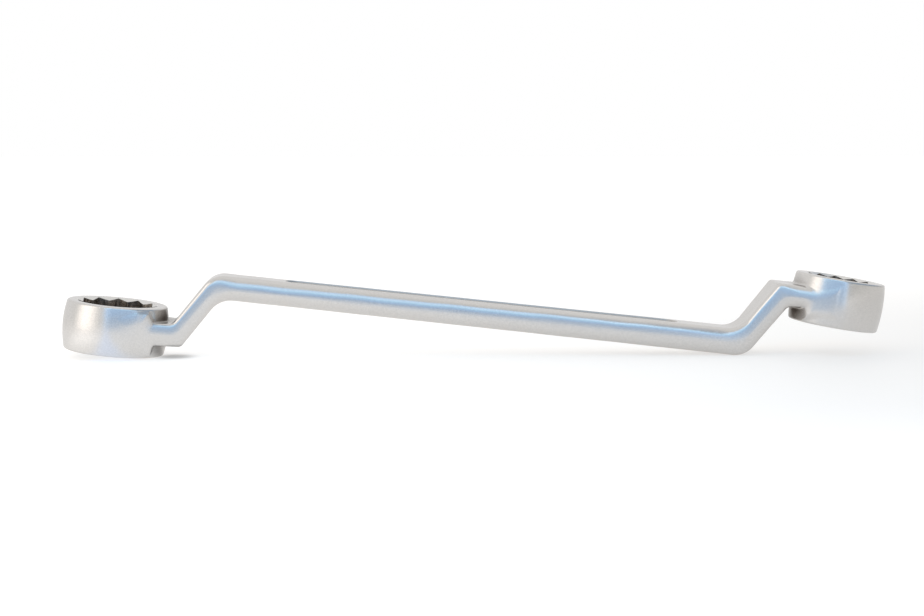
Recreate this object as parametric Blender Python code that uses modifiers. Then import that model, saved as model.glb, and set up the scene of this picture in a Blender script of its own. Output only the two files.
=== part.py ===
"""Offset ring spanner, 24 x 27 mm: one forging, a cranked bar with a twelve-point ring at each end.

The tool is modelled in its own axes, with the shank along X and the rings facing Z. The large ring hangs
below the shank and the small ring stands above it. It is then laid on a bench the way such a spanner
rests: on the rim of the large ring and on the bend next to the small one.
"""

import math
from dataclasses import dataclass

import bmesh
import bpy
from mathutils import Matrix, Vector
from mathutils.geometry import convex_hull_2d

# Rings and bores, in metres
LENGTH_BETWEEN_BORES = 0.288
LARGE_ACROSS_FLATS = 0.027
SMALL_ACROSS_FLATS = 0.024
BORE_CLEARANCE = 0.0003
LARGE_WALL = 0.0051
SMALL_WALL = 0.0046
LARGE_HEIGHT = 0.0196
SMALL_HEIGHT = 0.0195
LARGE_CROWN = 0.0012
SMALL_CROWN = 0.0008
RIM_ROUNDING = 0.0007
MOUTH_LIP = 0.0002
MOUTH_ANGLE = math.radians(33)
LARGE_TILT = math.radians(-0.4)
SMALL_TILT = math.radians(3.0)
LARGE_BROACH_ANGLE = math.radians(6)
SMALL_BROACH_ANGLE = math.radians(-6)

# Bar, cranks and necks, in metres
LARGE_OFFSET = 0.0204
SMALL_OFFSET = 0.0212
CRANK_ANGLE = math.radians(56.8)
BAR_WIDTH = 0.020
LARGE_SHANK_THICKNESS = 0.0096
SMALL_SHANK_THICKNESS = 0.0106
LARGE_CRANK_THICKNESS = 0.0084
SMALL_CRANK_THICKNESS = 0.0089
SHANK_SHOULDER = 0.0040
NECK_SHOULDER = 0.0020
SHANK_BEND_RADIUS = 0.0094
LARGE_BEND_OUTSIDE = 0.0024
SMALL_BEND_OUTSIDE = 0.0018
LARGE_BEND_INSIDE = 0.0025
SMALL_BEND_INSIDE = 0.0032
LARGE_NECK_LENGTH = 0.0043
SMALL_NECK_LENGTH = 0.0054
NECK_THICKNESS = 0.0089
WEB_KNEE = 0.75
WEB_SLOPE = math.radians(50)
WEB_HALF_HEIGHT = 0.0064
WEB_INSET = 0.0008
FLARE_RADIUS = 0.070

# Marking panels, in metres
PANEL_LENGTH = 0.159
PANEL_WIDTH = 0.0100
PANEL_DEPTH = 0.0005
PANEL_DRAFT = 0.0004
PANEL_CENTRE = 0.0025

# Counts of facets
POINTS = 12
RING_STEPS = 72
BARREL_STEPS = 8
RIM_SEGMENTS = 3
BEND_STEPS = 6
WEB_STEPS = 10
SHOULDER_STEPS = 6
PANEL_STEPS = 24

# How far a cutter runs past the face that it cuts
OVERCUT = 0.002

SATIN_CHROME = (0.62, 0.63, 0.62, 1.0)


@dataclass(frozen=True)
class RingEnd:
    """One ring and the neck that carries it. Sign is 1 at +X, above the shank, and -1 at -X, below it."""

    name: str
    sign: int
    across_flats: float
    wall: float
    height: float
    crown: float
    tilt: float
    broach_angle: float
    offset: float
    neck_length: float
    shank_thickness: float
    crank_thickness: float
    bend_outside: float
    bend_inside: float

    @property
    def flat_radius(self):
        """Distance from the bore's axis to its flats."""
        return (self.across_flats + BORE_CLEARANCE) / 2

    @property
    def corner_radius(self):
        """Distance from the bore's axis to its twelve corners."""
        return self.flat_radius / math.cos(math.pi / 6)

    @property
    def valley_radius(self):
        """Distance from the bore's axis to the edges between its corners."""
        return self.flat_radius / math.cos(math.pi / POINTS)

    @property
    def outer_radius(self):
        """Radius of the barrel at half its height."""
        return self.corner_radius + self.wall

    @property
    def neck_reach(self):
        """Distance from the bore's axis to the corner where the neck turns into the crank."""
        return self.outer_radius + self.neck_length

    @property
    def frame(self):
        """Where the ring stands: its middle plane meets the neck's where the neck enters the wall."""
        rise = self.offset - self.outer_radius * math.sin(self.tilt)
        place = Matrix.Translation((self.sign * LENGTH_BETWEEN_BORES / 2, 0, self.sign * rise))
        return place @ Matrix.Rotation(self.tilt, 4, "Y")

    def on_tool(self, reach, rise):
        """(x, z) of a point given by its distance from the bore's axis and from the shank's middle."""
        return Vector((self.sign * (LENGTH_BETWEEN_BORES / 2 - reach), self.sign * rise))

    def reach_of(self, x):
        """Distance from the bore's axis, along the tool, of a point at x."""
        return LENGTH_BETWEEN_BORES / 2 - self.sign * x


LARGE_END = RingEnd(
    "large",
    -1,
    LARGE_ACROSS_FLATS,
    LARGE_WALL,
    LARGE_HEIGHT,
    LARGE_CROWN,
    LARGE_TILT,
    LARGE_BROACH_ANGLE,
    LARGE_OFFSET,
    LARGE_NECK_LENGTH,
    LARGE_SHANK_THICKNESS,
    LARGE_CRANK_THICKNESS,
    LARGE_BEND_OUTSIDE,
    LARGE_BEND_INSIDE,
)
SMALL_END = RingEnd(
    "small",
    1,
    SMALL_ACROSS_FLATS,
    SMALL_WALL,
    SMALL_HEIGHT,
    SMALL_CROWN,
    SMALL_TILT,
    SMALL_BROACH_ANGLE,
    SMALL_OFFSET,
    SMALL_NECK_LENGTH,
    SMALL_SHANK_THICKNESS,
    SMALL_CRANK_THICKNESS,
    SMALL_BEND_OUTSIDE,
    SMALL_BEND_INSIDE,
)


@dataclass(frozen=True)
class Station:
    """One section of the bar: the end it belongs to, its shoulders, and its top and bottom as (x, z)."""

    end: RingEnd
    shoulder: float
    top: Vector
    bottom: Vector


def clear_scene():
    """Removes every object and collection of the open scene."""
    for obj in list(bpy.data.objects):
        bpy.data.objects.remove(obj)
    for collection in list(bpy.data.collections):
        bpy.data.collections.remove(collection)


def new_collection(name):
    """A collection in the scene."""
    collection = bpy.data.collections.new(name)
    bpy.context.scene.collection.children.link(collection)
    return collection


def new_empty(name, collection, parent=None):
    """An empty, which places what is parented to it."""
    empty = bpy.data.objects.new(name, None)
    empty.parent = parent
    collection.objects.link(empty)
    return empty


def new_mesh_object(name, bm, collection, parent):
    """An object made from a bmesh, shaded smooth with its real edges sharp."""
    bmesh.ops.recalc_face_normals(bm, faces=bm.faces)
    mesh = bpy.data.meshes.new(name)
    bm.to_mesh(mesh)
    bm.free()
    mesh.shade_smooth()
    mesh.set_sharp_from_angle(angle=math.radians(30))
    obj = bpy.data.objects.new(name, mesh)
    obj.parent = parent
    collection.objects.link(obj)
    return obj


def make_helper(obj):
    """Marks an object that only cuts or joins another one."""
    obj.hide_render = True
    obj.display_type = "WIRE"


def satin_chrome():
    """Pearl-blasted chrome plating."""
    material = bpy.data.materials.new("satin_chrome")
    material.use_nodes = True
    shader = material.node_tree.nodes["Principled BSDF"]
    shader.inputs["Base Color"].default_value = SATIN_CHROME
    shader.inputs["Metallic"].default_value = 1.0
    shader.inputs["Roughness"].default_value = 0.3
    return material


def rounded_corner(corner, before, after, radius):
    """Points of the arc that rounds the corner between two straight runs, in BEND_STEPS equal turns."""
    back = (before - corner).normalized()
    ahead = (after - corner).normalized()
    turn = math.pi - back.angle(ahead)
    centre = corner + (back + ahead).normalized() * radius / math.cos(turn / 2)
    start = corner + back * radius * math.tan(turn / 2) - centre
    way = math.copysign(turn, ahead.cross(back))
    return [
        centre + Matrix.Rotation(way * step / BEND_STEPS, 2) @ start
        for step in range(BEND_STEPS + 1)
    ]


def offset_corner(corner, run_in, run_out, half_in, half_out):
    """Where the faces of two runs meet, for half thicknesses to the left of each run's direction."""
    normals = Matrix(((-run_in.y, run_in.x), (-run_out.y, run_out.x)))
    return corner + normals.inverted() @ Vector((half_in, half_out))


def flare_centre(end):
    """Distance from the bore's axis to the centre of the arc between the ring's wall and the bar's flank."""
    to_ring = end.outer_radius - WEB_INSET + FLARE_RADIUS
    return math.sqrt(to_ring**2 - (BAR_WIDTH / 2 + FLARE_RADIUS) ** 2)


def web_start(end):
    """Distance from the bore's axis to where that arc leaves the ring's wall."""
    share = (end.outer_radius - WEB_INSET) / (end.outer_radius - WEB_INSET + FLARE_RADIUS)
    return flare_centre(end) * share


def half_width(end, reach):
    """Half the bar's width at a distance from the bore's axis."""
    run = flare_centre(end) - reach
    if run <= 0:
        return BAR_WIDTH / 2
    return BAR_WIDTH / 2 + FLARE_RADIUS - math.sqrt(FLARE_RADIUS**2 - run**2)


def neck_half_height(end, reach):
    """Half the neck's height at a distance from the bore's axis: it rises to a web along the ring's wall."""
    run = max(WEB_KNEE * end.outer_radius - reach, 0)
    return min(NECK_THICKNESS / 2 + run * math.tan(WEB_SLOPE), WEB_HALF_HEIGHT)


def end_stations(end):
    """The bar's sections from inside a ring to the straight shank."""
    neck_corner = Vector((end.neck_reach, end.offset))
    shank_corner = Vector((end.neck_reach + end.offset / math.tan(CRANK_ANGLE), 0))
    along = Vector((1, 0))
    down = (shank_corner - neck_corner).normalized()
    half_neck = NECK_THICKNESS / 2
    half_crank = end.crank_thickness / 2
    half_shank = end.shank_thickness / 2
    sides = []
    for way, neck_radius in ((1, end.bend_outside), (-1, end.bend_inside)):
        first = offset_corner(neck_corner, along, down, way * half_neck, way * half_crank)
        second = offset_corner(shank_corner, down, along, way * half_crank, way * half_shank)
        bends = rounded_corner(first, first - along, second, neck_radius)
        bends += rounded_corner(second, first, second + along, SHANK_BEND_RADIUS)
        web = []
        for step in range(WEB_STEPS):
            reach = web_start(end) + (bends[0].x - web_start(end)) * step / WEB_STEPS
            web.append(Vector((reach, end.offset + way * neck_half_height(end, reach))))
        sides.append([end.on_tool(*point) for point in web + bends])
    top, bottom = sides if end.sign > 0 else reversed(sides)
    shoulders = [NECK_SHOULDER] * WEB_STEPS
    for run in range(2 * (BEND_STEPS + 1)):
        share = run / (2 * BEND_STEPS + 1)
        shoulders.append(NECK_SHOULDER + share * (SHANK_SHOULDER - NECK_SHOULDER))
    return [Station(end, *section) for section in zip(shoulders, top, bottom)]


def section_points(station):
    """The section's outline: flat broad faces and round shoulders, from the flank at +Y over the top."""
    middle = (station.top + station.bottom) / 2
    rounded = station.shoulder / (station.top - middle).length
    points = []
    for quarter in range(4):
        to_side = 1 if quarter in (0, 3) else -1
        to_top = 1 if quarter in (0, 1) else -1
        for step in range(SHOULDER_STEPS + 1):
            angle = (quarter + step / SHOULDER_STEPS) * math.pi / 2
            height = to_top * (1 - rounded) + rounded * math.sin(angle)
            x, z = middle + (station.top - middle) * height
            side = half_width(station.end, station.end.reach_of(x)) - station.shoulder
            points.append((x, to_side * side + station.shoulder * math.cos(angle), z))
    return points


def new_loft(name, loops, collection, parent):
    """A solid through closed loops of points, with a flat face over its first and last loop."""
    bm = bmesh.new()
    rows = [[bm.verts.new(point) for point in loop] for loop in loops]
    for row, following in zip(rows, rows[1:]):
        for i in range(len(row)):
            bm.faces.new((row[i - 1], row[i], following[i], following[i - 1]))
    bm.faces.new(rows[0])
    bm.faces.new(rows[-1])
    return new_mesh_object(name, bm, collection, parent)


def add_bar(collection, parent):
    """The bar from ring to ring: one loft through every section."""
    stations = end_stations(LARGE_END) + end_stations(SMALL_END)[::-1]
    loops = [section_points(station) for station in stations]
    return new_loft("ring_spanner", loops, collection, parent)


def add_ring_blank(end, collection, parent):
    """The ring before broaching: a turned barrel with rounded rims."""
    loops = []
    for step in range(BARREL_STEPS + 1):
        up = 1 - 2 * step / BARREL_STEPS
        start = Vector((end.outer_radius - end.crown * up**2, 0, up * end.height / 2))
        turns = [Matrix.Rotation(2 * math.pi * i / RING_STEPS, 3, "Z") for i in range(RING_STEPS)]
        loops.append([turn @ start for turn in turns])
    blank = new_loft(f"{end.name}_ring_blank", loops, collection, parent)
    bevel = blank.modifiers.new("rims", "BEVEL")
    bevel.width = RIM_ROUNDING
    bevel.segments = RIM_SEGMENTS
    bevel.limit_method = "ANGLE"
    bevel.angle_limit = math.radians(45)
    make_helper(blank)
    return blank


def add_broach(end, collection, parent):
    """The twelve-point cutter: a prism whose outline steps between the corners and the valleys."""
    bm = bmesh.new()
    length = end.height + 2 * OVERCUT
    bmesh.ops.create_cone(
        bm, cap_ends=True, segments=2 * POINTS, radius1=1, radius2=1, depth=length
    )
    for vert in bm.verts:
        angle = math.atan2(vert.co.y, vert.co.x)
        corner = round(angle * POINTS / math.pi) % 2 == 0
        radius = end.corner_radius if corner else end.valley_radius
        angle += end.broach_angle
        vert.co.x = radius * math.cos(angle)
        vert.co.y = radius * math.sin(angle)
    cutter = new_mesh_object(f"{end.name}_broach", bm, collection, parent)
    make_helper(cutter)
    return cutter


def add_mouth_cutter(end, face, collection, parent):
    """The cone that chamfers one mouth of the bore. Face is 1 for the upper mouth and -1 for the lower."""
    slope = math.tan(MOUTH_ANGLE)
    rim = end.corner_radius + MOUTH_LIP
    depth = (rim - end.flat_radius) * slope + OVERCUT
    inner = rim - depth / slope
    outer = rim + OVERCUT / slope
    bm = bmesh.new()
    bmesh.ops.create_cone(
        bm,
        cap_ends=True,
        segments=RING_STEPS,
        radius1=inner,
        radius2=outer,
        depth=depth + OVERCUT,
        matrix=Matrix.Rotation(math.pi / RING_STEPS, 4, "Z"),
    )
    middle = end.height / 2 + (OVERCUT - depth) / 2
    bmesh.ops.translate(bm, verts=bm.verts, vec=(0, 0, middle))
    if face < 0:
        bmesh.ops.rotate(bm, verts=bm.verts, matrix=Matrix.Rotation(math.pi, 3, "X"))
    side = "upper" if face > 0 else "lower"
    cutter = new_mesh_object(f"{end.name}_{side}_mouth", bm, collection, parent)
    make_helper(cutter)
    return cutter


def shank_face():
    """The shank's upper face as its mean height, its slope along X and the X where it has that height."""
    left = end_stations(LARGE_END)[-1].top
    right = end_stations(SMALL_END)[-1].top
    middle = (left + right) / 2
    return middle.y, (right.y - left.y) / (right.x - left.x), middle.x


def add_panel_cutter(face, collection, parent):
    """The shallow marking panel with round ends on one broad face of the shank."""
    height, slope, middle = shank_face()
    floor = height + slope * (PANEL_CENTRE - middle) - PANEL_DEPTH
    widening = PANEL_DRAFT * OVERCUT / PANEL_DEPTH
    bm = bmesh.new()
    bmesh.ops.create_cone(
        bm,
        cap_ends=True,
        segments=PANEL_STEPS,
        radius1=PANEL_WIDTH / 2 - PANEL_DRAFT,
        radius2=PANEL_WIDTH / 2 + widening,
        depth=PANEL_DEPTH + OVERCUT,
        matrix=Matrix.Rotation(math.pi / PANEL_STEPS, 4, "Z"),
    )
    stretch = (PANEL_LENGTH - PANEL_WIDTH) / 2
    for vert in bm.verts:
        vert.co.x += math.copysign(stretch, vert.co.x)
        vert.co.z += floor + (PANEL_DEPTH + OVERCUT) / 2 + slope * vert.co.x
    if face < 0:
        bmesh.ops.scale(bm, verts=bm.verts, vec=(1, 1, -1))
    bmesh.ops.translate(bm, verts=bm.verts, vec=(PANEL_CENTRE, 0, 0))
    side = "upper" if face > 0 else "lower"
    cutter = new_mesh_object(f"{side}_panel", bm, collection, parent)
    make_helper(cutter)
    return cutter


def add_boolean(target, operation, other):
    """A Boolean on the target with another object."""
    modifier = target.modifiers.new(f"{operation.lower()} {other.name}", "BOOLEAN")
    modifier.operation = operation
    modifier.solver = "EXACT"
    modifier.object = other


def resting_edge(outline):
    """The edge of the side view's hull that lies under the middle of the tool, left point first."""
    hull = [outline[i] for i in convex_hull_2d(outline)]
    edges = zip(hull, hull[1:] + hull[:1])
    under = [sorted(edge) for edge in edges if edge[0][0] * edge[1][0] < 0]
    return min(under, key=lambda edge: edge[0][1] + edge[1][1])


def lay_on_bench(tool, bench):
    """Turns and lifts the bench empty so that the tool lies at rest on z = 0, over the origin."""
    bpy.context.view_layer.update()
    evaluated = tool.evaluated_get(bpy.context.evaluated_depsgraph_get())
    points = [vert.co.copy() for vert in evaluated.data.vertices]
    left, right = resting_edge([(point.x, point.z) for point in points])
    tilt = math.atan2(right[1] - left[1], right[0] - left[0])
    turned = [Matrix.Rotation(tilt, 3, "Y") @ point for point in points]
    low = Vector(min(point[axis] for point in turned) for axis in range(3))
    high = Vector(max(point[axis] for point in turned) for axis in range(3))
    bench.rotation_euler = (0, tilt, 0)
    bench.location = (-(low.x + high.x) / 2, -(low.y + high.y) / 2, -low.z)


def build():
    """Models the spanner and lays it on the bench."""
    clear_scene()
    parts = new_collection("offset_ring_spanner")
    helpers = new_collection("cutters")
    bench = new_empty("bench_pose", parts)
    tool = add_bar(parts, bench)
    tool.data.materials.append(satin_chrome())
    cutters = []
    for end in (LARGE_END, SMALL_END):
        axis = new_empty(f"{end.name}_bore_axis", parts, bench)
        axis.matrix_local = end.frame
        add_boolean(tool, "UNION", add_ring_blank(end, helpers, axis))
        cutters.append(add_broach(end, helpers, axis))
        for face in (1, -1):
            cutters.append(add_mouth_cutter(end, face, helpers, axis))
    for face in (1, -1):
        cutters.append(add_panel_cutter(face, helpers, bench))
    for cutter in cutters:
        add_boolean(tool, "DIFFERENCE", cutter)
    lay_on_bench(tool, bench)


build()
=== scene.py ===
"""Studio picture of an offset ring spanner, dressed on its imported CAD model.

The forging gets a finer skin than in the CAD model: the same bar and rings, with the fillets that a forging
die leaves between them. The sockets and the marking panels are then cut into that skin. All sizes are in
metres. The tool is made in its own axes, with the shank along X and the rings facing Z, and is laid on the
bench at the end.
"""

from __future__ import annotations

import logging
import math
from collections.abc import Mapping
from dataclasses import dataclass
from enum import Enum
from typing import Any

import bmesh
import bpy
import numpy as np
from mathutils import Euler, Matrix, Vector


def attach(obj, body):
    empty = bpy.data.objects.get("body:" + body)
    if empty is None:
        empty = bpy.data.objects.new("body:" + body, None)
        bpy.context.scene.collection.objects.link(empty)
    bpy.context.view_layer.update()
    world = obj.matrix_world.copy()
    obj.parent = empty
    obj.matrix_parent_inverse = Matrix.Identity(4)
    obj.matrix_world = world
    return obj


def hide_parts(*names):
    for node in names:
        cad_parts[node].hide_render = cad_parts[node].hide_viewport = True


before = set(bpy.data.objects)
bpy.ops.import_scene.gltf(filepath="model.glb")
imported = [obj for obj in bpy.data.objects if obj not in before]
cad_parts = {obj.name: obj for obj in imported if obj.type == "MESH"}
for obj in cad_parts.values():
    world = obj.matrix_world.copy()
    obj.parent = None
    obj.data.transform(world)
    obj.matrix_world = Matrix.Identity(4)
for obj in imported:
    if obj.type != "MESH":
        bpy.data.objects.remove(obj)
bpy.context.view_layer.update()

log = logging.getLogger("ring_spanner")

# Short names of types
Array = np.ndarray
Colour = tuple[float, float, float, float]
Triple = tuple[float, float, float]
Range = tuple[float, float]
Tree = bpy.types.NodeTree
Socket = bpy.types.NodeSocket

# The tool at rest on the bench: tilted about Y, then lifted
BENCH_POSE = Matrix.Translation((0.000919, 0, 0.016472)) @ Matrix.Rotation(math.radians(6.2302), 4, "Y")

# How fine the skin is, how far off its slope is probed, and the least slope that counts
SKIN_PITCH = 0.0005
PROBE = SKIN_PITCH / 25
LEAST_SLOPE = 0.05

# How far cutters run past the faces that they cut
OVERCUT = 0.002

# Steps round the seed's rings and sections, round the cutters, and along the neck's edge inside the ring
RING_STEPS = 96
SECTION_STEPS = 24
MOUTH_STEPS = 192
PANEL_STEPS = 64
WALL_STEPS = 48

# Where the neck's edge starts inside the ring, as a share of the ring's radius
WALL_START = 0.1

# How square the seed's sections are, where 1 is an ellipse
SECTION_POWER = 0.6

# How a hand-dressed edge wanders: each wave's share of the radius, its length per radian and its start
EDGE_WAVES = ((0.04, 0.0068, 0.0), (0.03, 0.0031, 2.0))

# The range that noise rarely leaves
NOISE_RANGE = (0.3, 0.7)

# The sockets of a Mix node that mixes colours
MIX_SHARE = 0
MIX_FIRST = 6
MIX_SECOND = 7
MIX_RESULT = 2


class Level(Enum):
    """Where a ring stands: below the shank at its -X end, or above it at its +X end."""

    BELOW = -1
    ABOVE = 1


class Surface(Enum):
    """The surfaces of the tool that differ in finish, as material slots of its mesh."""

    BLASTED = 0
    BROACHED = 1
    TURNED = 2
    PANEL = 3


def linear_colour(code: str) -> Colour:
    """Turns an sRGB hex value into a linear colour.

    Args:
        code: The value as #RRGGBB.

    Returns:
        Red, green, blue and an alpha of 1.
    """
    channels = [int(code[start : start + 2], 16) / 255 for start in (1, 3, 5)]
    red, green, blue = (c / 12.92 if c <= 0.04045 else ((c + 0.055) / 1.055) ** 2.4 for c in channels)
    return red, green, blue, 1.0


def add_node(
    tree: Tree,
    kind: str,
    settings: Mapping[Any, Any] | None = None,
    links: Mapping[Any, Socket] | None = None,
) -> bpy.types.Node:
    """Adds a node to a tree with its settings and links.

    Args:
        tree: The tree that gets the node.
        kind: The node's type.
        settings: Values by the node's own property, or else by input socket.
        links: Output sockets of other nodes, by input socket.

    Returns:
        The new node.
    """
    node = tree.nodes.new(kind)
    for name, value in (settings or {}).items():
        if isinstance(name, str) and hasattr(node, name):
            setattr(node, name, value)
        else:
            node.inputs[name].default_value = value
    for name, source in (links or {}).items():
        tree.links.new(source, node.inputs[name])
    return node


def map_range(
    tree: Tree,
    value: Socket,
    source: Range,
    target: Range = (0.0, 1.0),
    smooth: bool = True,
) -> Socket:
    """Maps a value from one range to another and holds it at the ends.

    Args:
        tree: The tree that gets the node.
        value: The value.
        source: The range that it comes from.
        target: The range that it goes to.
        smooth: Whether it eases in and out, or runs straight.

    Returns:
        The mapped value.
    """
    settings = {
        "interpolation_type": "SMOOTHSTEP" if smooth else "LINEAR",
        "From Min": source[0],
        "From Max": source[1],
        "To Min": target[0],
        "To Max": target[1],
    }
    return add_node(tree, "ShaderNodeMapRange", settings, {"Value": value}).outputs["Result"]


def mixed(
    tree: Tree,
    share: Socket,
    first: Colour | Socket,
    second: Colour | Socket,
) -> Socket:
    """Mixes two colours.

    Args:
        tree: The tree that gets the node.
        share: How much of the second colour shows.
        first: The first colour.
        second: The second colour.

    Returns:
        The mixed colour.
    """
    node = add_node(tree, "ShaderNodeMix", {"data_type": "RGBA"}, {MIX_SHARE: share})
    for socket, colour in ((MIX_FIRST, first), (MIX_SECOND, second)):
        if isinstance(colour, Socket):
            tree.links.new(colour, node.inputs[socket])
        else:
            node.inputs[socket].default_value = colour
    return node.outputs[MIX_RESULT]


def away_from(tree: Tree, value: Socket, middle: float) -> Socket:
    """How far a value is from a fixed one.

    Args:
        tree: The tree that gets the nodes.
        value: The value.
        middle: The fixed value.

    Returns:
        The difference without its sign.
    """
    offset = add_node(tree, "ShaderNodeMath", {"operation": "SUBTRACT", 1: middle}, {0: value})
    return add_node(tree, "ShaderNodeMath", {"operation": "ABSOLUTE"}, {0: offset.outputs[0]}).outputs[0]


def rounded_edge(first: Array, second: Array, radius: float) -> Array:
    """Signed distance to where two shapes overlap, with the edge between their faces rounded.

    Args:
        first: Signed distances to one shape.
        second: Signed distances to the other.
        radius: Radius of the rounding.

    Returns:
        The distances, negative inside both.
    """
    out_first = first + radius
    out_second = second + radius
    within = np.minimum(np.maximum(out_first, out_second), 0)
    return within + np.hypot(np.maximum(out_first, 0), np.maximum(out_second, 0)) - radius


def filleted(first: Array, second: Array, radius: float) -> Array:
    """Signed distance to two shapes together, with a fillet in the corner between them.

    Args:
        first: Signed distances to one shape.
        second: Signed distances to the other.
        radius: Radius of the fillet.

    Returns:
        The distances, negative inside either.
    """
    corner = np.hypot(np.maximum(radius - first, 0), np.maximum(radius - second, 0))
    return np.maximum(radius, np.minimum(first, second)) - corner


def outline_distance(points: Array, outline: Array) -> Array:
    """Signed distance of points to a closed outline in their plane.

    Args:
        points: Rows of two coordinates.
        outline: The outline's corners in order, as rows of two coordinates.

    Returns:
        The distances, negative inside.
    """
    nearest = np.full(len(points), np.inf)
    inside = np.zeros(len(points), bool)
    for start, end in zip(outline, np.roll(outline, -1, axis=0)):
        run = end - start
        offset = points - start
        share = np.clip(offset @ run / (run @ run), 0, 1)
        nearest = np.minimum(nearest, np.square(offset - share[:, None] * run).sum(axis=1))
        if run[1] != 0:
            straddles = (start[1] > points[:, 1]) != (end[1] > points[:, 1])
            inside ^= straddles & (offset[:, 0] < offset[:, 1] * run[0] / run[1])
    return np.where(inside, -1, 1) * np.sqrt(nearest)


def rounded_corner(
    corner: Vector, before: Vector, after: Vector, radius: float, steps: int = 24
) -> list[Vector]:
    """Points of the arc that rounds the corner between two straight runs.

    Args:
        corner: Where the runs would meet.
        before: A point on the run that comes in.
        after: A point on the run that goes out.
        radius: Radius of the arc.
        steps: Equal turns along the arc.

    Returns:
        The points in order.
    """
    back = (before - corner).normalized()
    ahead = (after - corner).normalized()
    turn = math.pi - back.angle(ahead)
    centre = corner + (back + ahead).normalized() * radius / math.cos(turn / 2)
    start = corner + back * radius * math.tan(turn / 2) - centre
    way = math.copysign(turn, ahead.cross(back))
    return [centre + Matrix.Rotation(way * step / steps, 2) @ start for step in range(steps + 1)]


def offset_corner(corner: Vector, run_in: Vector, run_out: Vector, half_in: float, half_out: float) -> Vector:
    """Where the faces of two runs meet.

    Args:
        corner: Where the middles of the runs meet.
        run_in: Direction of the run that comes in.
        run_out: Direction of the run that goes out.
        half_in: Half thickness to the left of the first run.
        half_out: Half thickness to the left of the second run.

    Returns:
        The corner of the faces.
    """
    normals = Matrix(((-run_in.y, run_in.x), (-run_out.y, run_out.x)))
    return corner + normals.inverted() @ Vector((half_in, half_out))


@dataclass(frozen=True)
class Bar:
    """What both ends of the flat bar share: the bar runs from ring to ring with a crank at each end.

    The flare is an arc, used up to a limit of its radius. The long edges get fuller from before the foot of
    the crank to after it.
    """

    length_between_bores: float = 0.288
    width: float = 0.020
    flank_radius: float = 0.015
    neck_shoulder: float = 0.0016
    crank_shoulder: float = 0.0018
    crank_angle: float = math.radians(56.8)
    shank_bend: float = 0.0094
    neck_thickness: float = 0.0089
    web_inset: float = 0.0001
    flare: float = 0.070
    flare_limit: float = 0.95
    fuller_before: float = 0.004
    fuller_after: float = 0.008


@dataclass(frozen=True)
class Web:
    """How the neck grows taller along the ring's wall.

    It starts at the knee, a share of the ring's radius, rises with the slope to its top over the neck's
    middle, and then sinks again as fast as its fade.
    """

    knee: float
    slope: float
    top: float
    fade: float = 0.0


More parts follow.
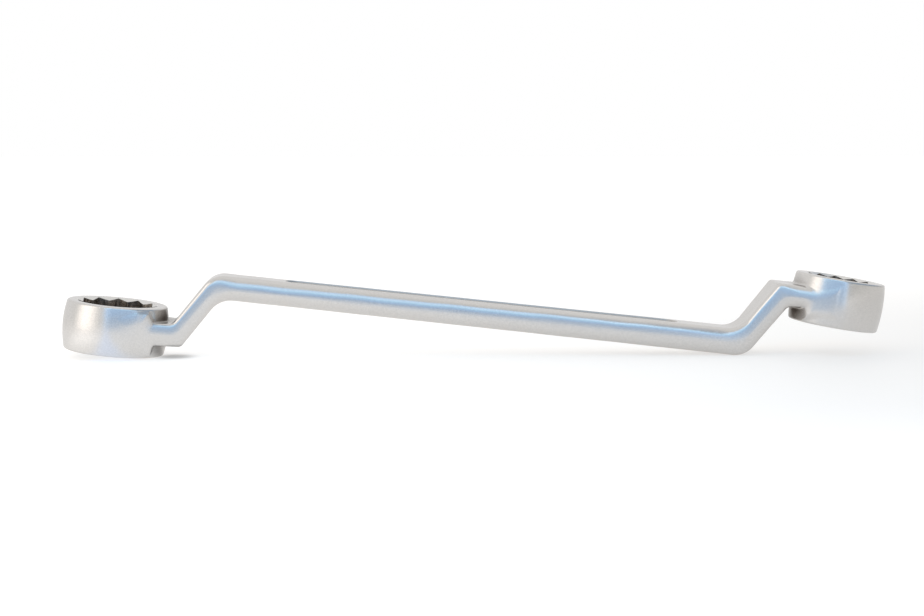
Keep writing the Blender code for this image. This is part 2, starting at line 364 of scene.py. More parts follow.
@dataclass(frozen=True)
class RingEnd:
    """One ring with its socket, and the neck and crank that carry it."""

    bar: Bar
    name: str
    level: Level
    across_flats: float
    wall: float
    height: float
    crown: float
    tilt: float
    broach_angle: float
    offset: float
    neck_length: float
    shank_thickness: float
    shank_shoulder: float
    crank_thickness: float
    bend_outside: float
    bend_inside: float
    web_away: Web
    web_towards: Web
    web_shoulder: float
    fillet: float
    clearance: float = 0.0003
    rim: float = 0.0007
    mouth_lip: float = 0.0002
    mouth_angle: float = math.radians(33)
    points: int = 12
    corner_round: float = 0.0005
    draft_share: float = 0.3

    @property
    def flat_radius(self) -> float:
        """Distance from the socket's axis to its flats."""
        return (self.across_flats + self.clearance) / 2

    @property
    def corner_radius(self) -> float:
        """Distance from the socket's axis to its corners."""
        return self.flat_radius / math.cos(math.pi / 6)

    @property
    def valley_radius(self) -> float:
        """Distance from the socket's axis to the edges between its corners."""
        return self.flat_radius / math.cos(math.pi / self.points)

    @property
    def outer_radius(self) -> float:
        """Radius of the ring at half its height."""
        return self.corner_radius + self.wall

    @property
    def flare_centre(self) -> float:
        """Distance from the socket's axis to the centre of the arc between ring and flank."""
        to_ring = self.outer_radius - self.bar.web_inset + self.bar.flare
        return math.sqrt(to_ring**2 - (self.bar.width / 2 + self.bar.flare) ** 2)

    @property
    def web_start(self) -> float:
        """Distance from the socket's axis to where that arc leaves the ring."""
        ring = self.outer_radius - self.bar.web_inset
        return self.flare_centre * ring / (ring + self.bar.flare)

    @property
    def pose(self) -> Matrix:
        """The ring in the tool's axes: its middle plane meets the neck's where the neck enters the wall."""
        sign = self.level.value
        rise = self.offset - self.outer_radius * math.sin(self.tilt)
        place = Matrix.Translation((sign * self.bar.length_between_bores / 2, 0, sign * rise))
        return place @ Matrix.Rotation(self.tilt, 4, "Y")

    @property
    def neck_reach(self) -> float:
        """Distance from the socket's axis to the corner where the neck turns into the crank."""
        return self.outer_radius + self.neck_length

    @property
    def foot_reach(self) -> float:
        """Distance from the socket's axis to the corner where the crank turns into the shank."""
        return self.neck_reach + self.offset / math.tan(self.bar.crank_angle)

    def reach(self, points: Array) -> Array:
        """Distances of points from the socket's axis, along the tool."""
        return self.bar.length_between_bores / 2 - self.level.value * points[:, 0]

    def half_width(self, reach: Array) -> Array:
        """Half the bar's width at distances from the socket's axis: it flares out, then follows the ring."""
        run = np.clip(self.flare_centre - reach, 0, self.bar.flare_limit * self.bar.flare)
        flare = self.bar.width / 2 + self.bar.flare - np.sqrt(self.bar.flare**2 - run**2)
        ring = np.sqrt(np.maximum((self.outer_radius - self.bar.web_inset) ** 2 - reach**2, 0))
        return np.where(reach < self.web_start, ring, flare)

    def draft(self, reach: Array, rise: Array) -> Array:
        """How far the flank leans in above and below the ring's middle, to follow the ring's crown."""
        share = np.interp(reach, (0, self.neck_reach), (1, 0))
        return self.draft_share * self.crown * share * np.square((rise - self.offset) / (self.height / 2))

    def web_height(self, web: Web, reach: Array) -> Array:
        """Height of the neck's edge over its middle at distances from the socket's axis."""
        run = np.maximum(web.knee * self.outer_radius - reach, 0)
        rise = np.minimum(self.bar.neck_thickness / 2 + run * math.tan(web.slope), web.top)
        return rise - web.fade * np.maximum(self.web_start - reach, 0)

    def edges(self) -> tuple[Array, Array]:
        """The long edges of the side view, from inside the ring to the straight shank.

        Returns:
            The edge away from the shank and the one towards it, as rows of X and Z in the tool's axes.
        """
        bar = self.bar
        neck = Vector((self.neck_reach, self.offset))
        foot = Vector((self.foot_reach, 0))
        along = Vector((1, 0))
        down = (foot - neck).normalized()
        edges = []
        sides = ((0.5, self.bend_outside, self.web_away), (-0.5, self.bend_inside, self.web_towards))
        for way, radius, web in sides:
            first = offset_corner(neck, along, down, way * bar.neck_thickness, way * self.crank_thickness)
            second = offset_corner(foot, down, along, way * self.crank_thickness, way * self.shank_thickness)
            bends = rounded_corner(first, first - along, second, radius)
            bends += rounded_corner(second, first, second + along, bar.shank_bend)
            reach = np.linspace(WALL_START * self.outer_radius, bends[0].x, WALL_STEPS, endpoint=False)
            wall = np.column_stack((reach, self.offset + 2 * way * self.web_height(web, reach)))
            reach, rise = np.vstack((wall, bends)).T
            x = bar.length_between_bores / 2 - reach
            edges.append(self.level.value * np.column_stack((x, rise)))
        return edges[0], edges[1]

    def blank_distance(self, points: Array) -> Array:
        """Signed distances to the ring before broaching: a turned barrel with rounded rims."""
        pose = np.array(self.pose)
        local = (points - pose[:3, 3]) @ pose[:3, :3]
        half = self.height / 2
        share = np.clip(local[:, 2] / half, -1, 1)
        steepness = np.sqrt(1 + (2 * self.crown * share / half) ** 2)
        wall = np.hypot(local[:, 0], local[:, 1]) - self.outer_radius + self.crown * share**2
        return rounded_edge(wall / steepness, np.abs(local[:, 2]) - half, self.rim)

    def broach(self) -> bmesh.types.BMesh:
        """The twelve-point cutter: a prism that steps between blunt corners and sharp valleys."""
        cutter = bmesh.new()
        length = self.height + 2 * OVERCUT
        bmesh.ops.create_cone(
            cutter, cap_ends=True, segments=2 * self.points, radius1=1, radius2=1, depth=length
        )
        for vert in cutter.verts:
            angle = math.atan2(vert.co.y, vert.co.x)
            corner = round(angle * self.points / math.pi) % 2 == 0
            radius = self.corner_radius if corner else self.valley_radius
            angle += self.broach_angle
            vert.co.x = radius * math.cos(angle)
            vert.co.y = radius * math.sin(angle)
        middle_radius = (self.corner_radius + self.valley_radius) / 2
        blunt = [
            edge
            for edge in cutter.edges
            if edge.calc_length() > self.height and edge.verts[0].co.xy.length > middle_radius
        ]
        bmesh.ops.bevel(
            cutter, geom=blunt, offset=self.corner_round, segments=2, profile=0.5, affect="EDGES"
        )
        return cutter

    def mouth(self, level: Level) -> bmesh.types.BMesh:
        """The cone that chamfers the upper or the lower mouth of the socket."""
        slope = math.tan(self.mouth_angle)
        rim = self.corner_radius + self.mouth_lip
        depth = (rim - self.flat_radius) * slope + OVERCUT
        cutter = bmesh.new()
        bmesh.ops.create_cone(
            cutter,
            cap_ends=True,
            segments=MOUTH_STEPS,
            radius1=rim - depth / slope,
            radius2=rim + OVERCUT / slope,
            depth=depth + OVERCUT,
        )
        middle = self.height / 2 + (OVERCUT - depth) / 2
        bmesh.ops.translate(cutter, verts=cutter.verts, vec=(0, 0, middle))
        if level is Level.BELOW:
            bmesh.ops.rotate(cutter, verts=cutter.verts, matrix=Matrix.Rotation(math.pi, 3, "X"))
        return cutter


@dataclass(frozen=True)
class MarkingPanel:
    """The shallow bare panel with round ends on each broad face of the shank."""

    length: float = 0.159
    width: float = 0.0100
    depth: float = 0.0005
    draft: float = 0.0004
    centre: float = 0.0008

    def cutter(self, level: Level, height: float, slope: float) -> bmesh.types.BMesh:
        """The cutter for one of the two panels.

        Args:
            level: Whether it cuts the upper or the lower face.
            height: Half the shank's thickness at the middle of the panel.
            slope: How fast that half thickness grows along X.

        Returns:
            The cutter in the tool's axes.
        """
        widening = self.draft * OVERCUT / self.depth
        cutter = bmesh.new()
        bmesh.ops.create_cone(
            cutter,
            cap_ends=True,
            segments=PANEL_STEPS,
            radius1=self.width / 2 - self.draft,
            radius2=self.width / 2 + widening,
            depth=self.depth + OVERCUT,
            matrix=Matrix.Rotation(math.pi / PANEL_STEPS, 4, "Z"),
        )
        stretch = (self.length - self.width) / 2
        lift = height + (OVERCUT - self.depth) / 2
        for vert in cutter.verts:
            vert.co.x += math.copysign(stretch, vert.co.x)
            vert.co.z += lift + slope * vert.co.x
        bmesh.ops.translate(cutter, verts=cutter.verts, vec=(self.centre, 0, 0))
        if level is Level.BELOW:
            bmesh.ops.scale(cutter, verts=cutter.verts, vec=(1, 1, -1))
            bmesh.ops.reverse_faces(cutter, faces=cutter.faces)
        return cutter


@dataclass(frozen=True)
class Forging:
    """The bar and both rings as one smooth shape, before the sockets are broached."""

    bar: Bar
    ends: tuple[RingEnd, RingEnd]
    straight: float = 0.060
    rounds: int = 6

    def shoulders(self, x: Array) -> Array:
        """Radius of the bar's long edges along X: crisp at the necks, full but a bit uneven on the shank."""
        runs = []
        for end, order in zip(self.ends, (1, -1)):
            stops = (
                (end.outer_radius, end.web_shoulder),
                (end.neck_reach, self.bar.neck_shoulder),
                (end.foot_reach - self.bar.fuller_before, self.bar.crank_shoulder),
                (end.foot_reach + self.bar.fuller_after, end.shank_shoulder),
            )
            half = self.bar.length_between_bores / 2
            runs += [(end.level.value * (half - reach), radius) for reach, radius in stops][::order]
        radius = np.interp(x, *zip(*runs))
        waves = [depth * np.sin(x / length + start) for depth, length, start in EDGE_WAVES]
        return radius * (1 + sum(waves))

    def half_thickness(self, x: Array) -> Array:
        """Half the shank's thickness along X, between the feet of the cranks."""
        feet = [end.level.value * (self.bar.length_between_bores / 2 - end.foot_reach) for end in self.ends]
        return np.interp(x, feet, [end.shank_thickness / 2 for end in self.ends])

    def outlines(self) -> list[Array]:
        """The side view of the bar for each end, as closed outlines of X and Z that reach the other end."""
        outlines = []
        for end, other in zip(self.ends, self.ends[::-1]):
            away, towards = end.edges()
            far_away, far_towards = other.edges()
            outlines.append(np.vstack((away, far_towards[-1:], far_away[-1:], towards[::-1])))
        return outlines

    def distance(self, points: Array, outlines: list[Array]) -> Array:
        """Signed distance of points to the forging's surface.

        Args:
            points: Rows of three coordinates in the tool's axes.
            outlines: What outlines() gives.

        Returns:
            The distances, negative in the metal.
        """
        half = self.half_thickness(points[:, 0])
        side = np.abs(points[:, 2]) - half
        flank = np.abs(points[:, 1]) - self.bar.width / 2
        shoulder = self.shoulders(points[:, 0])
        for end, outline in zip(self.ends, outlines):
            near = points[:, 0] * end.level.value > self.straight
            reach = end.reach(points[near])
            side[near] = outline_distance(points[near][:, [0, 2]], outline)
            flank[near] = np.abs(points[near, 1]) - end.half_width(reach)
            flank[near] += end.draft(reach, points[near, 2] * end.level.value)
        bulge = np.square(np.clip(half + side, 0, half)) / (2 * self.bar.flank_radius)
        shape = rounded_edge(side, flank + bulge, shoulder)
        for end in self.ends:
            shape = filleted(shape, end.blank_distance(points), end.fillet)
        return shape

    def settled(self, points: Array, outlines: list[Array]) -> Array:
        """Points moved straight onto the forging's surface, each by one step along its slope."""
        height = self.distance(points, outlines)
        slopes = [self.distance(points + PROBE * axis, outlines) - height for axis in np.eye(3)]
        slope = np.column_stack(slopes) / PROBE
        steepness = np.maximum(np.square(slope).sum(axis=1), LEAST_SLOPE)
        return points - slope * (height / steepness)[:, None]

    def seed(self) -> bpy.types.Object:
        """A rough closed model of the forging, remeshed to even faces the size of the skin's pitch."""
        model = bmesh.new()
        for end in self.ends:
            bmesh.ops.create_cone(
                model,
                cap_ends=True,
                segments=RING_STEPS,
                radius1=end.outer_radius,
                radius2=end.outer_radius,
                depth=end.height,
                matrix=end.pose,
            )
        rows = []
        for end, order in zip(self.ends, (1, -1)):
            away, towards = end.edges()
            for first, second in list(zip(away, towards))[::order]:
                rows.append([model.verts.new(point) for point in self.section(end, first, second)])
        for row, following in zip(rows, rows[1:]):
            for i in range(len(row)):
                model.faces.new((row[i - 1], row[i], following[i], following[i - 1]))
        model.faces.new(rows[0])
        model.faces.new(rows[-1])
        bmesh.ops.recalc_face_normals(model, faces=model.faces)
        seed = new_object("seed", model)
        remesh = seed.modifiers.new("even faces", "REMESH")
        remesh.mode = "VOXEL"
        remesh.voxel_size = SKIN_PITCH
        return seed

    def section(self, end: RingEnd, first: Array, second: Array) -> list[Vector]:
        """One section of the bar as an oval loop between two points of its side view."""
        middle = (first + second) / 2
        half = (first - second) / 2
        loop = []
        for angle in np.linspace(0, 2 * math.pi, SECTION_STEPS, endpoint=False):
            up = math.copysign(abs(math.sin(angle)) ** SECTION_POWER, math.sin(angle))
            out = math.copysign(abs(math.cos(angle)) ** SECTION_POWER, math.cos(angle))
            x, z = middle + half * up * end.level.value
            reach = self.bar.length_between_bores / 2 - end.level.value * x
            loop.append(Vector((x, out * end.half_width(np.array([reach]))[0], z)))
        return loop

    def skin(self) -> bpy.types.Object:
        """The forging as an even mesh whose points all lie on its surface.

        Returns:
            An object in the tool's axes.
        """
        mesh = evaluated_mesh(self.seed(), "skin")
        points = np.empty(len(mesh.vertices) * 3)
        mesh.vertices.foreach_get("co", points)
        points = points.reshape(-1, 3)
        edges = np.empty(len(mesh.edges) * 2, np.int64)
        mesh.edges.foreach_get("vertices", edges)
        first, second = edges.reshape(-1, 2).T
        count = np.bincount(edges, minlength=len(points))[:, None]
        outlines = self.outlines()
        for _ in range(self.rounds):
            around = np.zeros_like(points)
            np.add.at(around, first, points[second])
            np.add.at(around, second, points[first])
            points = self.settled((points + around / count) / 2, outlines)
        points = self.settled(points, outlines)
        mesh.vertices.foreach_set("co", points.ravel())
        mesh.update()
        mesh.shade_smooth()
        skin = bpy.data.objects.new("skin", mesh)
        bpy.context.scene.collection.objects.link(skin)
        return skin


def new_object(name: str, model: bmesh.types.BMesh, surface: Surface = Surface.BLASTED) -> bpy.types.Object:
    """An object in the scene made from a bmesh, which is freed.

    Args:
        name: The object's name.
        model: Its shape.
        surface: The material slot that its faces take.

    Returns:
        The object.
    """
    for face in model.faces:
        face.material_index = surface.value
    mesh = bpy.data.meshes.new(name)
    model.to_mesh(mesh)
    model.free()
    made = bpy.data.objects.new(name, mesh)
    bpy.context.scene.collection.objects.link(made)
    return made


def evaluated_mesh(source: bpy.types.Object, name: str) -> bpy.types.Mesh:
    """The mesh that an object's modifiers give. The object is removed.

    Args:
        source: The object.
        name: Name of the new mesh.

    Returns:
        The new mesh.
    """
    graph = bpy.context.evaluated_depsgraph_get()
    mesh = bpy.data.meshes.new_from_object(source.evaluated_get(graph))
    mesh.name = name
    bpy.data.objects.remove(source)
    return mesh


class Grain(Enum):
    """What a finish's grain follows: nothing, or the cut that made the face, through its map in metres."""

    EVEN = "Object"
    LAID = "UV"


@dataclass(frozen=True)
class MetalFinish:
    """The look of one kind of metal surface, all of it drawn from noise at real sizes.

    Its grain and its fleck, a change of tone, follow the grain size. Its roughness and waviness follow a
    slower noise. Where little of the room is open to it, its colour is darkened towards a painted shade
    colour, which stands in for the shade that falls in corners.
    """

    name: str
    colour: str
    roughness: float
    roughness_spread: float
    grain: Grain
    grain_size: Triple
    grain_depth: float
    edge_colour: str = "#F0F0F0"
    # The painted shade in corners: its colour, how far the occlusion looks, and the open shares over which it
    # fades to the own colour
    painted_shade_colour: str = "#5C534B"
    painted_shade_reach: float = 0.014
    painted_shade_range: Range = (0.36, 0.88)
    wave_length: float = 0.016
    wave_depth: float = 0.00004
    fleck: float = 0.05

    def material(self) -> bpy.types.Material:
        """Builds the material.

        Returns:
            A metal whose colour darkens in corners as painted shade, and whose roughness and height wander
            with its grain.
        """
        material = bpy.data.materials.new(self.name)
        material.use_nodes = True
        tree = material.node_tree
        shader = tree.nodes["Principled BSDF"]
        shader.inputs["Metallic"].default_value = 1.0
        shader.inputs["Specular Tint"].default_value = linear_colour(self.edge_colour)
        places = add_node(tree, "ShaderNodeTexCoord").outputs
        sized = add_node(
            tree,
            "ShaderNodeVectorMath",
            {"operation": "DIVIDE", 1: self.grain_size},
            {0: places[self.grain.value]},
        )
        grain = add_node(
            tree, "ShaderNodeTexNoise", {"Scale": 1.0, "Detail": 3.0}, {"Vector": sized.outputs[0]}
        ).outputs["Fac"]
        wave = add_node(
            tree, "ShaderNodeTexNoise", {"Scale": 1 / self.wave_length}, {"Vector": places["Object"]}
        ).outputs["Fac"]
        # Painted shade: where ambient occlusion finds little of the room open, the colour turns to the shade
        # colour
        open_share = add_node(
            tree,
            "ShaderNodeAmbientOcclusion",
            {"samples": 8, "only_local": True, "Distance": self.painted_shade_reach},
        ).outputs["AO"]
        unshaded_share = map_range(tree, open_share, self.painted_shade_range, smooth=False)
        colour = mixed(tree, unshaded_share, linear_colour(self.painted_shade_colour), linear_colour(self.colour))
        tone = map_range(tree, grain, NOISE_RANGE, (1 - self.fleck, 1 + self.fleck), smooth=False)
        flecked = add_node(tree, "ShaderNodeVectorMath", {"operation": "SCALE"}, {0: colour, "Scale": tone})
        tree.links.new(flecked.outputs[0], shader.inputs["Base Color"])
        spread = (self.roughness - self.roughness_spread, self.roughness + self.roughness_spread)
        roughness = map_range(tree, wave, NOISE_RANGE, spread, smooth=False)
        tree.links.new(roughness, shader.inputs["Roughness"])
        uneven = add_node(tree, "ShaderNodeBump", {"Distance": self.wave_depth}, {"Height": wave})
        grained = add_node(
            tree,
            "ShaderNodeBump",
            {"Distance": self.grain_depth},
            {"Height": grain, "Normal": uneven.outputs[0]},
        )
        tree.links.new(grained.outputs[0], shader.inputs["Normal"])
        return material


# Chrome plate over a blasted and brushed-over forging: a pale, slightly warm sheen that blurs what it
# mirrors, with a fine grain, drawn six times as coarse as it is so that it shows. In corners, where little
# of the room is open, its colour is darkened to brown as painted shade.
SATIN_CHROME = MetalFinish(
    name="satin_chrome_on_blasted_steel",
    colour="#D0CDCA",
    roughness=0.23,
    roughness_spread=0.03,
    grain=Grain.EVEN,
    grain_size=(0.0006, 0.0006, 0.0006),
    grain_depth=0.000008,
)

# Broached steel under thin plating: dark, because little light gets in, and streaked along the broach's
# stroke. Deep in the socket its colour is also darkened by painted shade. The streaks are drawn about ten
# times as wide as they are so that they show.
BROACHED_STEEL = MetalFinish(
    name="broached_steel",
    colour="#BDB6AE",
    painted_shade_colour="#857A6E",
    roughness=0.20,
    roughness_spread=0.05,
    grain=Grain.LAID,
    grain_size=(0.0010, 0.006, 1.0),
    grain_depth=0.000010,
    fleck=0.7,
)

# Turned chamfers: brighter than the blasted skin, with the fine rings that a tool bit leaves.
TURNED_CHROME = MetalFinish(
    name="chrome_on_turned_steel",
    colour="#D6D4D1",
    roughness=0.18,
    roughness_spread=0.03,
    grain=Grain.LAID,
    grain_size=(0.020, 0.00015, 1.0),
    grain_depth=0.000004,
)

# The marking panels keep the forged skin under the plating: greyer and duller than the faces round them.
PANEL_CHROME = MetalFinish(
    name="satin_chrome_on_forged_steel",
    colour="#C6C3BF",
    roughness=0.32,
    roughness_spread=0.05,
    grain=Grain.EVEN,
    grain_size=(0.0005, 0.0005, 0.0005),
    grain_depth=0.000010,
)

FINISHES = {
    Surface.BLASTED: SATIN_CHROME,
    Surface.BROACHED: BROACHED_STEEL,
    Surface.TURNED: TURNED_CHROME,
    Surface.PANEL: PANEL_CHROME,
}


@dataclass(frozen=True)
class Spanner:
    """The whole tool: one forging with two sockets and two bare marking panels."""

    forging: Forging
    panel: MarkingPanel

    def cutters(self) -> list[bpy.types.Object]:
        """Everything that is cut into the forging, in the tool's axes."""
        cutters = []
        for end in self.forging.ends:
            made = [new_object(f"{end.name}_broach", end.broach(), Surface.BROACHED)]
            for level in Level:
                made.append(new_object(f"{end.name}_mouth", end.mouth(level), Surface.TURNED))
            for cutter in made:
                cutter.matrix_world = end.pose
            cutters += made
        ahead = self.panel.centre + self.panel.length / 2
        height, height_ahead = self.forging.half_thickness(np.array([self.panel.centre, ahead]))
        slope = (height_ahead - height) / (self.panel.length / 2)
        for level in Level:
            cutters.append(new_object("panel", self.panel.cutter(level, height, slope), Surface.PANEL))
        return cutters

    def build(self) -> bpy.types.Object:
        """Skins the forging, cuts it and lays it on the bench.

        Returns:
            The finished piece.
        """
        skin = self.forging.skin()
        finishes = [FINISHES[surface].material() for surface in Surface]
        cutters = self.cutters()
        for part in (skin, *cutters):
            for finish in finishes:
                part.data.materials.append(finish)
        for cutter in cutters:
            cut = skin.modifiers.new(cutter.name, "BOOLEAN")
            cut.operation = "DIFFERENCE"
            cut.solver = "EXACT"
            cut.material_mode = "INDEX"
            cut.object = cutter
        bpy.context.view_layer.update()
        mesh = evaluated_mesh(skin, "forged_spanner")
        for cutter in cutters:
            bpy.data.objects.remove(cutter)
        self.sharpen(mesh)
        self.lay_map(mesh)
        mesh.transform(BENCH_POSE)
        tool = bpy.data.objects.new("forged_spanner", mesh)
        bpy.context.scene.collection.objects.link(tool)
        return tool

    def sharpen(self, mesh: bpy.types.Mesh, angle: float = math.radians(15)) -> None:
        """Marks the edges of the cuts sharp and leaves the forged skin smooth.

        Args:
            mesh: The tool's mesh.
            angle: The least turn of a sharp edge between two cut faces.
        """
        model = bmesh.new()
        model.from_mesh(mesh)
        for edge in model.edges:
            slots = {face.material_index for face in edge.link_faces}
            cut = slots != {Surface.BLASTED.value}
            edge.smooth = len(slots) == 1 and not (cut and edge.calc_face_angle(0) > angle)
        for face in model.faces:
            face.smooth = True
        model.to_mesh(mesh)
        model.free()

    def lay_map(self, mesh: bpy.types.Mesh) -> None:
        """Gives the sockets a map in metres: round the axis, and along it or out from it on chamfers."""
        layer = mesh.uv_layers.new(name="cuts")
        for face in mesh.polygons:
            if face.material_index not in (Surface.BROACHED.value, Surface.TURNED.value):
                continue
            end = self.forging.ends[int(face.center.x > 0)]
            inward = end.pose.inverted()
            middle = inward @ face.center
            turn = math.atan2(middle.y, middle.x)
            for loop in face.loop_indices:
                place = inward @ mesh.vertices[mesh.loops[loop].vertex_index].co
                angle = turn + math.remainder(math.atan2(place.y, place.x) - turn, 2 * math.pi)
                walled = face.material_index == Surface.BROACHED.value
                across = place.z if walled else place.xy.length
                layer.data[loop].uv = (angle * end.corner_radius, across)


@dataclass(frozen=True)
class SoftBox:
    """A rectangular lamp that shines straight at a spot and fades out towards its sides."""

    name: str
    location: Vector
    target: Vector
    width: float
    height: float
    radiance: float
    colour: str

    def add(self) -> None:
        """Hangs the lamp."""
        data = bpy.data.lights.new(self.name, "AREA")
        data.shape = "RECTANGLE"
        data.size = self.width
        data.size_y = self.height
        data.energy = self.radiance * math.pi * self.width * self.height
        data.color = linear_colour(self.colour)[:3]
        data.use_nodes = True
        tree = data.node_tree
        spot = add_node(tree, "ShaderNodeNewGeometry").outputs["Parametric"]
        across = add_node(tree, "ShaderNodeSeparateXYZ", links={0: spot}).outputs["X"]
        middle = 0.5
        falloff = map_range(tree, away_from(tree, across, middle), (0.0, middle), (1.0, 0.0))
        tree.links.new(falloff, tree.nodes["Emission"].inputs["Strength"])
        lamp = bpy.data.objects.new(self.name, data)
        lamp.location = self.location
        lamp.rotation_euler = (self.target - self.location).to_track_quat("-Z", "Y").to_euler()
        bpy.context.scene.collection.objects.link(lamp)


@dataclass(frozen=True)
class DaylightScreen:
    """The tent's open front: a tall gap that lets cool daylight in, brighter at its sides.

    The sky in it is given from the table up, as shares of its height.
    """

    distance: float = 0.25
    left: float = -0.224
    right: float = 0.184
    top: float = 0.75
    strength: float = 1.5
    edge: float = 0.060
    edge_gain: float = 1.6
    sky: tuple[tuple[float, str], ...] = (
        (0.0, "#A9B8CB"),
        (0.06, "#A6B9CF"),
        (0.085, "#9DB4CE"),
        (0.12, "#A0C0E6"),
        (0.17, "#A6C0DC"),
        (0.23, "#A8CAEA"),
        (0.30, "#B4DCFA"),
        (0.45, "#C8E6FF"),
        (0.75, "#BEDDFF"),
        (1.0, "#BAD6F4"),
    )

    def add(self) -> bpy.types.Object:
        """Stands the gap on the table between the tool and the camera, which looks straight through it.

        Returns:
            The glowing sheet that stands for the gap.
        """
        model = bmesh.new()
        places = ((self.left, 0), (self.right, 0), (self.right, self.top), (self.left, self.top))
        model.faces.new([model.verts.new((x, -self.distance, z)) for x, z in places])
        screen = new_object("daylight_gap", model)
        material = bpy.data.materials.new("cool_daylight")
        material.use_nodes = True
        tree = material.node_tree
        place = add_node(tree, "ShaderNodeTexCoord").outputs["Object"]
        axes = add_node(tree, "ShaderNodeSeparateXYZ", links={0: place}).outputs
        rise = map_range(tree, axes["Z"], (0.0, self.top), smooth=False)
        ramp = add_node(tree, "ShaderNodeValToRGB", links={"Fac": rise})
        stops = ramp.color_ramp.elements
        while len(stops) < len(self.sky):
            stops.new(0.5)
        for stop, (position, code) in zip(stops, self.sky):
            stop.position = position
            stop.color = linear_colour(code)
        middle = (self.left + self.right) / 2
        limit = self.right - middle
        strength = map_range(
            tree,
            away_from(tree, axes["X"], middle),
            (limit - self.edge, limit),
            (self.strength, self.edge_gain * self.strength),
        )
        glow = add_node(
            tree, "ShaderNodeEmission", links={"Color": ramp.outputs["Color"], "Strength": strength}
        )
        tree.links.new(glow.outputs[0], tree.nodes["Material Output"].inputs["Surface"])
        screen.data.materials.append(material)
        screen.visible_camera = False
        return screen


@dataclass(frozen=True)
class LightTent:
    """Cloth round the table: white behind it, greyer at its sides, and dim with sky high up on the right.

    The ranges say over which part of a unit direction one shade turns into the next: from the sides to the
    back along Y, from the dim cloth to the sky along Z, and from the rest to the dim side along its middle.
    """

    back: str = "#FFFFFF"
    side: str = "#F2F2F0"
    dim_side: str = "#DEDEDC"
    sky: str = "#A9BACD"
    back_range: Range = (-0.1, 0.5)
    sky_range: Range = (0.24, 0.41)
    dim_range: Range = (0.1, 0.6)
    dim_middle: float = math.radians(70)

    def add(self) -> None:
        """Makes the world."""
        world = bpy.data.worlds.new("light_tent")
        world.use_nodes = True
        tree = world.node_tree
        direction = add_node(tree, "ShaderNodeTexCoord").outputs["Generated"]
        rightward = Vector((math.sin(self.dim_middle), -math.cos(self.dim_middle), 0))
        aside = add_node(
            tree, "ShaderNodeVectorMath", {"operation": "DOT_PRODUCT", 1: rightward}, {0: direction}
        ).outputs["Value"]
        axes = add_node(tree, "ShaderNodeSeparateXYZ", links={0: direction}).outputs
        backward = map_range(tree, axes["Y"], self.back_range)
        cloth = mixed(tree, backward, linear_colour(self.side), linear_colour(self.back))
        rising = map_range(tree, axes["Z"], self.sky_range)
        right = mixed(tree, rising, linear_colour(self.dim_side), linear_colour(self.sky))
        tent = mixed(tree, map_range(tree, aside, self.dim_range), cloth, right)
        tree.links.new(tent, tree.nodes["Background"].inputs["Color"])
        bpy.context.scene.world = world


@dataclass(frozen=True)
class GlowSpot:
    """A soft round spot on the table that is lit more, or less, than the rest."""

    place: Triple
    inner: float
    outer: float
    change: float

    def glow(self, tree: Tree, place: Socket) -> Socket:
        """The change of the table's glow.

        Args:
            tree: The table's nodes.
            place: Where on the table a point lies.

        Returns:
            The change at that point.
        """
        away = add_node(tree, "ShaderNodeVectorMath", {"operation": "DISTANCE", 1: self.place}, {0: place})
        return map_range(tree, away.outputs["Value"], (self.inner, self.outer), (self.change, 0.0))


@dataclass(frozen=True)
class DaylightStrip:
    """The strip of daylight that the gap's left edge throws on the table in front of the tool.

    Its middle line lies at an offset from the origin along the direction across it. It fades towards its
    sides and, along Y, under the tool.
    """

    across: Triple = (0.968, -0.252, 0.0)
    offset: float = -0.1355
    inner: float = 0.003
    outer: float = 0.014
    front: Range = (-0.03, 0.0)
    glow: float = 0.25
    colour: str = "#D8E6FF"

    def share(self, tree: Tree, place: Socket) -> Socket:
        """How much of the strip shows.

        Args:
            tree: The table's nodes.
            place: Where on the table a point lies.

        Returns:
            The share at that point.
        """
        across = add_node(
            tree, "ShaderNodeVectorMath", {"operation": "DOT_PRODUCT", 1: self.across}, {0: place}
        ).outputs["Value"]
        side = map_range(tree, away_from(tree, across, self.offset), (self.inner, self.outer), (1.0, 0.0))
        axes = add_node(tree, "ShaderNodeSeparateXYZ", links={0: place}).outputs
        front = map_range(tree, axes["Y"], self.front, (1.0, 0.0), smooth=False)
        return add_node(tree, "ShaderNodeMath", {"operation": "MULTIPLY"}, {0: side, 1: front}).outputs[0]


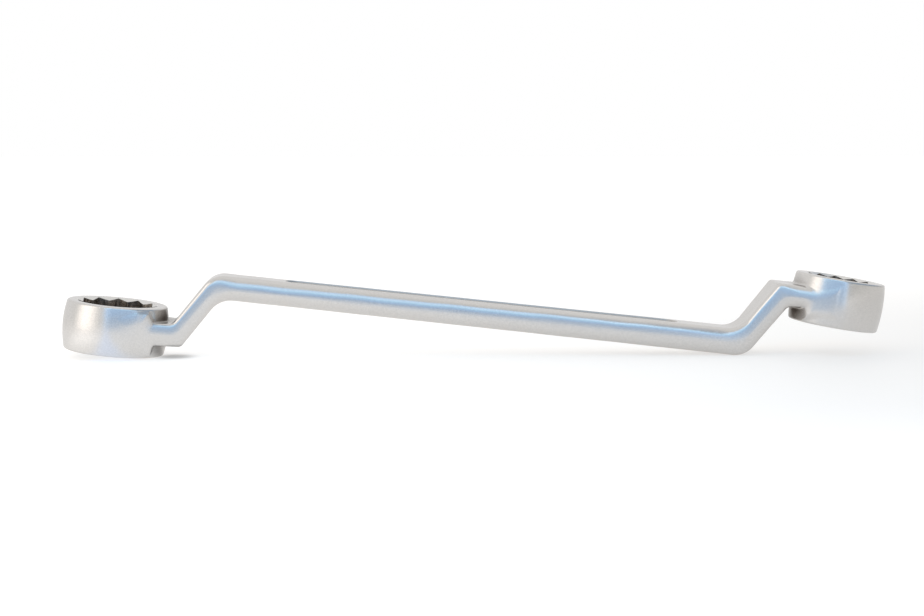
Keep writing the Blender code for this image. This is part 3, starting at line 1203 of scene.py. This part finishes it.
@dataclass(frozen=True)
class Studio:
    """A white table in soft light, and the camera.

    The table is brighter in the lamp's pool and at its front, and darker at its right end, under the large
    ring's neck and far off on the left. The camera's sensor and lens are in millimetres, and its turn is in
    degrees about X, Y and Z.
    """

    camera_place: Triple = (-0.0437, -0.7597, 0.0992)
    camera_turn: Triple = (83.957, -0.122, -2.827)
    sensor_width: float = 36.0
    lens: float = 74.03
    floor_size: float = 3.0
    floor_colour: str = "#B4AFA9"
    floor_roughness: float = 0.6
    floor_shine: float = 0.2
    floor_glow: float = 0.67
    glow_colour: str = "#FFFFFF"
    lamp_pool: GlowSpot = GlowSpot((-0.215, -0.045, 0), 0.02, 0.07, 0.30)
    dim_end: GlowSpot = GlowSpot((0.42, -0.05, 0), 0.10, 0.55, -0.22)
    neck_shade: GlowSpot = GlowSpot((-0.1205, -0.004, 0), 0.002, 0.011, -0.40)
    left_shade: GlowSpot = GlowSpot((-0.43, 0.27, 0), 0.12, 0.25, -0.20)
    front_lift: GlowSpot = GlowSpot((0.12, -0.62, 0), 0.32, 0.50, 0.11)
    strip: DaylightStrip = DaylightStrip()

    def camera(self) -> None:
        """Sets the camera in front of the bench and a little above it."""
        data = bpy.data.cameras.new("camera")
        data.sensor_width = self.sensor_width
        data.lens = self.lens
        camera = bpy.data.objects.new("camera", data)
        camera.location = self.camera_place
        camera.rotation_euler = Euler(map(math.radians, self.camera_turn))
        bpy.context.scene.collection.objects.link(camera)
        bpy.context.scene.camera = camera

    def lamp(self) -> None:
        """Hangs the lamp."""
        SoftBox(
            name="key_softbox",
            location=Vector((-0.591, -0.231, 0.375)),
            target=Vector((-0.166, 0.034, 0.375)),
            width=0.72,
            height=0.75,
            radiance=1.05,
            colour="#FFF6EE",
        ).add()

    def floor(self) -> bpy.types.Object:
        """The table top.

        Returns:
            The floor, which glows so that it stays white round a soft shadow.
        """
        model = bmesh.new()
        bmesh.ops.create_grid(model, x_segments=1, y_segments=1, size=self.floor_size)
        floor = new_object("floor", model)
        material = bpy.data.materials.new("white_table")
        material.use_nodes = True
        tree = material.node_tree
        shader = tree.nodes["Principled BSDF"]
        shader.inputs["Base Color"].default_value = linear_colour(self.floor_colour)
        shader.inputs["Roughness"].default_value = self.floor_roughness
        shader.inputs["Specular IOR Level"].default_value = self.floor_shine
        place = add_node(tree, "ShaderNodeTexCoord").outputs["Object"]
        strip = self.strip.share(tree, place)
        tint = mixed(tree, strip, linear_colour(self.glow_colour), linear_colour(self.strip.colour))
        tree.links.new(tint, shader.inputs["Emission Color"])
        lift = {"operation": "MULTIPLY_ADD", 1: self.strip.glow, 2: self.floor_glow}
        glow = add_node(tree, "ShaderNodeMath", lift, {0: strip}).outputs[0]
        for spot in (self.lamp_pool, self.dim_end, self.neck_shade, self.left_shade, self.front_lift):
            terms = {0: glow, 1: spot.glow(tree, place)}
            glow = add_node(tree, "ShaderNodeMath", {"operation": "ADD"}, terms).outputs[0]
        tree.links.new(glow, shader.inputs["Emission Strength"])
        floor.data.materials.append(material)
        return floor


def main() -> None:
    """Builds the tool and its studio, and reports each piece."""
    logging.basicConfig(level=logging.INFO)
    bpy.context.scene.view_settings.view_transform = "Standard"
    bar = Bar()
    large = RingEnd(
        bar=bar,
        name="large",
        level=Level.BELOW,
        across_flats=0.027,
        wall=0.0051,
        height=0.0196,
        crown=0.0012,
        tilt=math.radians(-0.4),
        broach_angle=math.radians(6),
        offset=0.0204,
        neck_length=0.0043,
        shank_thickness=0.0096,
        shank_shoulder=0.0044,
        crank_thickness=0.0084,
        bend_outside=0.0024,
        bend_inside=0.0025,
        web_away=Web(knee=0.80, slope=math.radians(80), top=0.0088),
        web_towards=Web(knee=0.78, slope=math.radians(60), top=0.0084, fade=0.35),
        web_shoulder=0.0008,
        fillet=0.0005,
    )
    small = RingEnd(
        bar=bar,
        name="small",
        level=Level.ABOVE,
        across_flats=0.024,
        wall=0.0046,
        height=0.0195,
        crown=0.0008,
        tilt=math.radians(3.0),
        broach_angle=math.radians(-6),
        offset=0.0212,
        neck_length=0.0054,
        shank_thickness=0.0106,
        shank_shoulder=0.0030,
        crank_thickness=0.0089,
        bend_outside=0.0018,
        bend_inside=0.0032,
        web_away=Web(knee=0.69, slope=math.radians(20), top=0.0085),
        web_towards=Web(knee=0.88, slope=math.radians(78), top=0.0088),
        web_shoulder=0.0033,
        fillet=0.0009,
    )
    tool = Spanner(Forging(bar, (large, small)), MarkingPanel()).build()
    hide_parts("ring_spanner")
    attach(tool, "root")
    log.info("%s: %d faces", tool.name, len(tool.data.polygons))
    studio = Studio()
    studio.floor()
    DaylightScreen().add()
    LightTent().add()
    studio.lamp()
    studio.camera()


if __name__ == "__main__":
    main()
